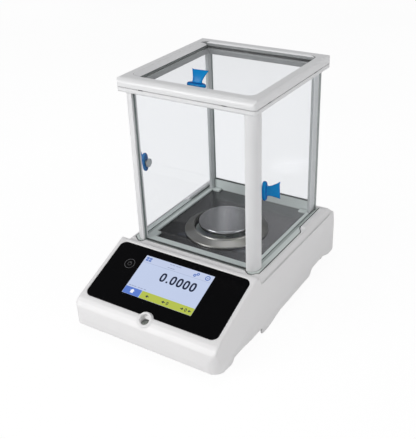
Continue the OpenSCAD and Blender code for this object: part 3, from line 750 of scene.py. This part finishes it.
def handle_mesh():
    """Fish-tail handle: oval foot on z = 0 with its long axis along X, neck and fin."""
    vertices, faces = [], []
    foot = [[(x, y, z) for x, y in oval(0, 0, half_length, half_width, count=64, power=2.6)]
            for half_length, half_width, z in FOOT_RINGS]
    loft(vertices, faces, foot)
    loft(vertices, faces, fin_rings())
    mesh = new_mesh("handle", [(x * MM, y * MM, z * MM) for x, y, z in vertices], faces)
    with editing(mesh) as edit:
        bmesh.ops.recalc_face_normals(edit, faces=edit.faces)
    mesh = remesh(mesh, voxel=0.00032)
    # the foot's underside stays nearly flat
    smooth_mesh(mesh, lambda points: np.where(points[:, 2] < 0.0004, 0.05, 1.0), [0.5] * 9)
    return modified(mesh, "DECIMATE", ratio=0.35)


def build_handles():
    """One handle on the outer face of each sliding door."""
    shape = handle_mesh()
    for door, outward in (("right", 1), ("left", -1), ("top", 0)):
        mesh = shape.copy()
        cap_lo, cap_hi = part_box(door + "_handle_cap")
        glass_lo, glass_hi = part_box(door + "_door_glass")
        centre = (cap_lo + cap_hi) / 2
        if door == "top":
            place = Matrix.Translation((centre.x, centre.y, glass_hi.z))
        else:
            # local X -> -Z, Y -> +Y, Z -> outward; the left one mirrors the right one
            face_x = glass_hi.x if door == "right" else glass_lo.x
            place = Matrix.Translation((face_x, centre.y, centre.z)) @ Matrix(
                ((0, 0, outward, 0), (0, 1, 0, 0), (-1, 0, 0, 0), (0, 0, 0, 1)))
        mesh.transform(place)
        name = door + "_door_handle"
        grip = piece(name + "_grip", mesh, door + "_door", BLUE)
        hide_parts(name)


# ------------------------------------------------------------ pan and ring

def build_pan_and_ring():
    pan_lo, pan_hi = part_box("weighing_pan")
    centre = ((pan_lo.x + pan_hi.x) / 2, (pan_lo.y + pan_hi.y) / 2)
    axis = (*centre, 0)
    # the pan and the ring carry painted reflections in bands across them
    pan_steel = metal(
        "pan_steel", (0.56, 0.56, 0.575), roughness=0.24, bump=0.10, centre=axis,
        bands=((0.846, 0.533, 0), 0.0394,
               [(0.0, 0.55), (0.25, 0.70), (0.45, 1.10), (0.62, 0.85), (0.82, 0.62),
                (1.0, 0.80)]))
    ring_steel = metal(
        "ring_steel", (0.66, 0.645, 0.60), roughness=0.34, bump=0.14, centre=axis,
        bands=((0.36, -0.93, 0), 0.060,
               [(0.0, 0.26), (0.38, 0.16), (0.62, 0.34), (0.82, 0.62), (1.0, 0.74)]))

    # profiles are (radius, z) in mm, the pan's from its top face and the ring's from its foot
    edge = (pan_hi.x - pan_lo.x) / 2 / MM
    top_face = [(0, 0), (8, 0), (20, 0), (30, 0)]
    rim = [(edge - 3.4, 0), (edge - 1.5, -0.3), (edge - 0.45, -1.2), (edge, -2.6),
           (edge, -5), (edge - 0.8, -6.7), (edge - 2.2, -7.4), (edge - 3.2, -7.0),
           (edge - 2.6, -5.0), (edge - 3.4, -2.6)]
    hub = [(9, -2.4), (9, -9.6), (3.3, -9.6), (3.3, -4.6), (0, -4.6)]
    profile = (at_height(pan_hi.z, top_face)
               + rounded_profile(at_height(pan_hi.z, rim), reach=0.0006, closed=False)
               + at_height(pan_hi.z, hub))
    disc = lathe("weighing_pan_disc", profile, centre, "pan", pan_steel)
    sharpen(disc, 50)
    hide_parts("weighing_pan")

    ring_lo, ring_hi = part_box("draft_ring")
    edge = (ring_hi.x - ring_lo.x) / 2 / MM
    section = [(edge - 1.6, 0), (edge, 0), (edge, 2.4), (edge - 0.8, 3.2), (edge - 2.2, 3.6),
               (48.6, 7.4), (47.6, 9.0), (46.4, 9.4), (45.6, 8.8), (45.4, 6.4), (46.6, 6.2),
               (edge - 1.8, 2.0)]
    profile = rounded_profile(at_height(ring_lo.z, section), reach=0.0008)
    band = lathe("draft_ring_band", profile, centre, "ring", ring_steel)
    sharpen(band, 50)
    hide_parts("draft_ring")


# ------------------------------------------------------- console and screen

# On the console x runs to the right, y up the slope in mm, and z out of it in metres.
CONSOLE_PLANE = (Matrix.Translation((0, CONSOLE_Y, CONSOLE_Z))
                 @ Matrix.Rotation(CONSOLE_TILT, 4, "X"))
SCREEN_LEFT, SCREEN_RIGHT, SCREEN_FOOT, SCREEN_HEAD = -54.2, 54.2, 20.5, 84.6
SCREEN_WIDTH = SCREEN_RIGHT - SCREEN_LEFT
SCREEN_HEIGHT = SCREEN_HEAD - SCREEN_FOOT

# layers over the panel glass; each plate starts slightly inside the layer under it
GLASS_TOP = -0.0004
IN_GLASS = GLASS_TOP - 0.00005
FACE_TOP, PANEL_TOP, MARK_TOP = (GLASS_TOP + rise for rise in (0.00006, 0.00010, 0.00014))
OVERLAP = 0.00002
ON_GLASS = (IN_GLASS, FACE_TOP)
HIGH_ON_GLASS = (IN_GLASS, PANEL_TOP)
ON_FACE = (FACE_TOP - OVERLAP, PANEL_TOP)
HIGH_ON_FACE = (FACE_TOP - OVERLAP, MARK_TOP)
ON_PANEL = (PANEL_TOP - OVERLAP, MARK_TOP)

FOOTER_TOP = 0.822         # share of the screen height, from the head
FOOTER_MARKS = 0.915
BUTTON_END, BAR_START = 0.245, 0.248
NUMERAL_ROW = 0.388
KEY_X, KEY_Y = -70.4, 64.2

# colour and strength of each screen material
SCREEN_INKS = {
    "backlight": ((0.545, 0.625, 0.83), 1.0), "header": ((0.55, 0.62, 0.82), 1.0),
    "line": ((0.40, 0.46, 0.66), 0.8), "digits": ((0.006, 0.014, 0.045), 1.0),
    "button": ((0.10, 0.20, 0.62), 1.0), "bar": ((0.47, 0.54, 0.07), 1.0),
    "icon": ((0.10, 0.19, 0.52), 1.0), "white": ((0.88, 0.90, 0.96), 1.0),
}


def across(share):
    """x of a share of the screen width, from the left."""
    return SCREEN_LEFT + share * SCREEN_WIDTH


def down(share):
    """y of a share of the screen height, from the head."""
    return SCREEN_HEAD - share * SCREEN_HEIGHT


def rounded_rect(x, y, width, height, radius):
    corner_steps = 6
    points = []
    for side_x, side_y, start in ((1, 1, 0), (-1, 1, 90), (-1, -1, 180), (1, -1, 270)):
        for i in range(corner_steps + 1):
            angle = math.radians(start + 90 * i / corner_steps)
            points.append((x + side_x * (width / 2 - radius) + radius * math.cos(angle),
                           y + side_y * (height / 2 - radius) + radius * math.sin(angle)))
    return points


def rect_marks(places, width, height, radius):
    """Equal rounded rectangles at (across, down) shares of the screen."""
    return [rounded_rect(across(u), down(v), width, height, radius) for u, v in places]


def round_ring(x, y, outer, inner, count=48):
    return oval(x, y, outer, outer, count), oval(x, y, inner, inner)


def arrow(x, y, direction, size):
    """Triangle pointing right (1) or left (-1), with a short stem."""
    wing = 1.7 * size * direction
    return [[(x + direction * 2.2 * size, y), (x, y + wing), (x, y - wing)],
            rounded_rect(x - direction * 0.9 * size, y, 1.9 * size, 0.9 * size, 0.1)]


def slab(name, outlines, span, material):
    """Thin plates between two heights; an (outer, inner) tuple of outlines makes a ring."""
    bottom, top = span
    vertices, faces = [], []
    for outline in outlines:
        if not isinstance(outline, tuple):
            loft(vertices, faces, [[(x, y, z) for x, y in outline] for z in span])
            continue
        base, count = len(vertices), len(outline[0])
        for loop in outline:
            for z in span:
                vertices.extend((x, y, z) for x, y in loop)
        outer_low, outer_top, inner_low, inner_top = (base + i * count for i in range(4))
        for k in range(count):
            k2 = (k + 1) % count
            faces += [(outer_low + k, outer_low + k2, outer_top + k2, outer_top + k),
                      (inner_low + k2, inner_low + k, inner_top + k, inner_top + k2),
                      (outer_top + k, outer_top + k2, inner_top + k2, inner_top + k),
                      (outer_low + k2, outer_low + k, inner_low + k, inner_low + k2)]
    vertices = [tuple(CONSOLE_PLANE @ Vector((x * MM, y * MM, z))) for x, y, z in vertices]
    piece(name, new_mesh(name, vertices, faces), "base", material, smooth=False)


def build_screen_panels(ink):
    """Backlit face, header, button and bar."""
    footer_y = (down(FOOTER_TOP) + down(1)) / 2
    footer_height = down(FOOTER_TOP) - down(1) - 0.3
    slab("screen_face", [rounded_rect(0, (SCREEN_FOOT + SCREEN_HEAD) / 2, SCREEN_WIDTH,
                                      SCREEN_HEIGHT, 0.5)], ON_GLASS, ink["backlight"])
    slab("screen_header_bar", [rounded_rect(0, down(0.085), SCREEN_WIDTH - 0.6,
                                            0.155 * SCREEN_HEIGHT, 0.3)], ON_FACE, ink["header"])
    slab("screen_header_line", [rounded_rect(0, down(0.172), SCREEN_WIDTH - 1.6, 0.35, 0.1)],
         ON_FACE, ink["line"])
    slab("screen_button_face",
         [rounded_rect((across(0) + across(BUTTON_END)) / 2 + 0.1, footer_y,
                       across(BUTTON_END) - across(0) - 0.4, footer_height, 0.4)],
         ON_FACE, ink["button"])
    slab("screen_bar_face",
         [rounded_rect((across(BAR_START) + across(1)) / 2, footer_y,
                       across(1) - across(BAR_START) - 0.3, footer_height, 0.4)],
         ON_FACE, ink["bar"])


def build_screen_marks(ink):
    """Numerals, pictograms and dashes that stand for text."""
    noughts = [(oval(across(u), down(NUMERAL_ROW), 4.3, 7.0, 56, 2.5),
                oval(across(u), down(NUMERAL_ROW), 1.6, 4.3, 56, 2.4))
               for u in (0.390, 0.537, 0.632, 0.726, 0.820)]
    slab("screen_numerals", noughts, HIGH_ON_FACE, ink["digits"])
    slab("screen_point", rect_marks([(0.466, 0.470)], 2.7, 2.7, 0.6), HIGH_ON_FACE,
         ink["digits"])

    blocks = [(u, v) for u in (0.040, 0.085) for v in (0.058, 0.112)]
    slab("screen_icon_left", rect_marks(blocks, 4.1, 2.7, 0.3), ON_PANEL, ink["icon"])
    slab("screen_icon_rings", [round_ring(across(0.927), down(0.088), 3.7, 2.4),
                               round_ring(across(0.750), down(0.110), 2.3, 0.8),
                               round_ring(across(0.785), down(0.065), 2.2, 0.8)],
         ON_PANEL, ink["icon"])
    slab("screen_icon_dot", [oval(across(0.927), down(0.088), 0.9, 0.9, 20)], ON_PANEL,
         ink["icon"])
    header_dashes = ([(u, 0.045) for u in (0.385, 0.425, 0.475, 0.515)]
                     + [(u, 0.128) for u in (0.375, 0.412, 0.446)])
    slab("screen_header_dashes", rect_marks(header_dashes, 3.4, 1.1, 0.2), ON_PANEL,
         ink["line"])
    note_dashes = [(u, 0.785) for u in (0.04, 0.08, 0.12, 0.175, 0.215, 0.265)]
    slab("screen_note_dashes", rect_marks(note_dashes, 3.4, 1.2, 0.2), ON_FACE, ink["line"])

    # house-like arrow on the button
    x, y = across(0.122), down(0.905)
    slab("screen_button_icon",
         [[(x - 3.6, y), (x + 3.6, y), (x, y + 3.2)],
          [(x - 2.2, y - 3.0), (x + 2.2, y - 3.0), (x + 2.2, y + 0.1), (x - 2.2, y + 0.1)]],
         ON_PANEL, ink["white"])
    arrows = []
    for u, direction, size in ((0.350, -1, 1.35), (0.585, -1, 1.35), (0.845, 1, 1.2),
                               (0.955, -1, 1.2)):
        arrows += arrow(across(u), down(FOOTER_MARKS), direction, size)
    slab("screen_arrows", arrows, ON_PANEL, ink["digits"])
    small_noughts = [(oval(across(u), down(FOOTER_MARKS), 1.6, 2.5),
                      oval(across(u), down(FOOTER_MARKS), 0.75, 1.5)) for u in (0.640, 0.900)]
    slab("screen_noughts_small", small_noughts, ON_PANEL, ink["digits"])


def build_power_key(material):
    """A thin printed ring with a small ring and stroke in it."""
    large = (oval(KEY_X, KEY_Y, 7.6, 7.6, 72), oval(KEY_X, KEY_Y, 6.9, 6.9, 72))
    small = round_ring(KEY_X, KEY_Y, 3.0, 2.45)
    slab("power_key_ring", [large, small], ON_GLASS, material)
    slab("power_key_stroke", [rounded_rect(KEY_X, KEY_Y + 2.2, 0.7, 3.2, 0.2)],
         HIGH_ON_GLASS, material)


def build_console():
    ink = {name: lit("screen_" + name, colour, strength)
           for name, (colour, strength) in SCREEN_INKS.items()}
    key_grey = plastic("key_ring_grey", (0.10, 0.10, 0.105), roughness=0.4)
    build_screen_panels(ink)
    build_screen_marks(ink)
    build_power_key(key_grey)


def build_level():
    """Target ring and bubble of the spirit level; profiles in mm from the vial's top."""
    vial_lo, vial_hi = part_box("spirit_level_vial")
    centre = ((vial_lo.x + vial_hi.x) / 2, (vial_lo.y + vial_hi.y) / 2)
    target = at_height(vial_hi.z, [(2.2, -0.1), (2.5, -0.1), (2.5, 0.12), (2.2, 0.12)])
    lathe("level_target_ring", target, centre, "base", LEVEL_BODY, segments=48)
    bubble = at_height(vial_hi.z, [(0, -0.6), (1.2, -0.5), (1.7, -0.1), (1.3, 0.2), (0, 0.3)])
    lathe("level_bubble", bubble, centre, "base", FLUID, segments=40)


# ------------------------------------------------------ back panel details

SERIAL_X = -60             # mm, middle of the serial port
PIN_PITCH = 2.77
JACK_POST_OFFSET = 12.6
# pin rows: z in mm, places in pitches from the middle
PIN_ROWS = ((45.5, (-2, -1, 0, 1, 2)), (42.6, (-1.5, -0.5, 0.5, 1.5)))


def black_blocks(name, boxes):
    mesh = box_mesh(name, boxes)
    bevel(piece(name, mesh, "base", BLACK, smooth=False), 0.0002, degrees=30)


def rod(name, x, z, radius, y0, y1, material, segments, bore=0):
    """Rod or tube along Y, in mm."""
    profile = at_height(0, [(bore, y0), (radius, y0), (radius, y1), (bore, y1)])
    item = lathe(name, profile, (0, 0), "base", material, segments)
    to_y = Matrix(((1, 0, 0, 0), (0, 0, 1, 0), (0, -1, 0, 0), (0, 0, 0, 1)))
    item.data.transform(Matrix.Translation((x * MM, 0, z * MM)) @ to_y)
    sharpen(item, 40)


def build_back_panel():
    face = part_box("serial_port")[1].y / MM
    black_blocks("serial_port_insert", [(SERIAL_X - 7.5, face - 0.2, 40.4,
                                         SERIAL_X + 7.5, face + 0.5, 47.6)])
    pins = [(place, z) for z, places in PIN_ROWS for place in places]
    for i, (place, z) in enumerate(pins, 1):
        rod("serial_pin_%d" % i, SERIAL_X + place * PIN_PITCH, z, 0.5, face + 0.3, face + 1.4,
            BRASS, segments=16)
    for i, side in enumerate((-1, 1), 1):
        rod("serial_jack_post_%d" % i, SERIAL_X + side * JACK_POST_OFFSET, 44, 2.0,
            face - 0.1, face + 1.6, SCREW, segments=6, bore=1.1)
    black_blocks("usb_tongues", [(-28.6, 162, 42.6, -23.4, 172.4, 45.6),
                                 (-10.2, 162, 43.9, 0.2, 172.4, 45.2)])


# ------------------------------------------------------------------- stage

def build_floor():
    """Mostly a white sweep to the camera, which leaves only a faint contact shadow."""
    shader = new_shader("floor")
    white = shader.mix(shader.noise(scale=1.4, detail=2), (0.93, 0.93, 0.93),
                       (0.96, 0.96, 0.96))
    matt = shader.principled({"Base Color": white, "Roughness": 0.9})
    glow = shader.add("Emission", {"Color": white, "Strength": 1.08})
    camera_ray = shader.add("LightPath", output="Is Camera Ray")
    material = shader.finish(shader.mix_shader(shader.remap(camera_ray, low=0.0, high=0.93),
                                               matt, glow))
    half, z = 14, -0.0001
    corners = [(-half, -half, z), (half, -half, z), (half, half, z), (-half, half, z)]
    mesh = new_mesh("floor", corners, [(0, 1, 2, 3)])
    mesh.materials.append(material)
    new_object("floor", mesh)


def build_world():
    world = bpy.data.worlds.new("studio")
    SCENE.world = world
    shader = Shader(world)
    # as a light the sky is dimmer overhead than near the horizon
    incoming = shader.add("NewGeometry", output="Incoming")
    height = shader.add("SeparateXYZ", {0: incoming}, output=2)
    sky = shader.remap(height, low=0.22, high=0.52, start=-1.0, end=0.0)
    # brighter for the camera than as a light, so that the backdrop stays near white
    camera_ray = shader.add("LightPath", output="Is Camera Ray")
    background = shader.add("Background", {"Color": (0.98, 0.985, 1.0),
                                           "Strength": shader.remap(camera_ray, sky, 1.0)})
    shader.finish(background, "OutputWorld")


def area_light(name, location, target, size, watts):
    data = bpy.data.lights.new(name, "AREA")
    data.energy = watts
    data.size = size
    item = new_object(name, data)
    item.location = location
    item.rotation_mode = "QUATERNION"
    item.rotation_quaternion = (Vector(target) - Vector(location)).to_track_quat("-Z", "Y")


def build_camera():
    data = bpy.data.cameras.new("camera")
    data.lens = 59.91
    data.sensor_width = 36
    data.clip_start = 0.01
    data.clip_end = 60
    camera = new_object("camera", data)
    right = Vector((0.84569, 0.53256, -0.0345))
    up = Vector((-0.23333, 0.42711, 0.87358))
    back = Vector((0.47996, -0.73073, 0.48546))
    camera.matrix_world = (Matrix.Translation((0.4804, -0.7400, 0.6052))
                           @ Matrix((right, up, back)).transposed().to_4x4())
    SCENE.camera = camera


dress_cad_pieces()
build_housing()
build_handles()
build_pan_and_ring()
build_console()
build_level()
build_back_panel()
build_floor()
build_world()
area_light("key", location=(-1.0, -1.8, 1.0), target=(0, 0, 0.12), size=1.0, watts=22)
area_light("top", location=(0.0, 0.2, 2.0), target=(0, 0, 0.1), size=1.2, watts=5)
area_light("right", location=(1.8, -0.1, 0.9), target=(0, 0, 0.12), size=1.0, watts=8)
SCENE.view_settings.view_transform = "Standard"
SCENE.view_settings.look = "None"
build_camera()
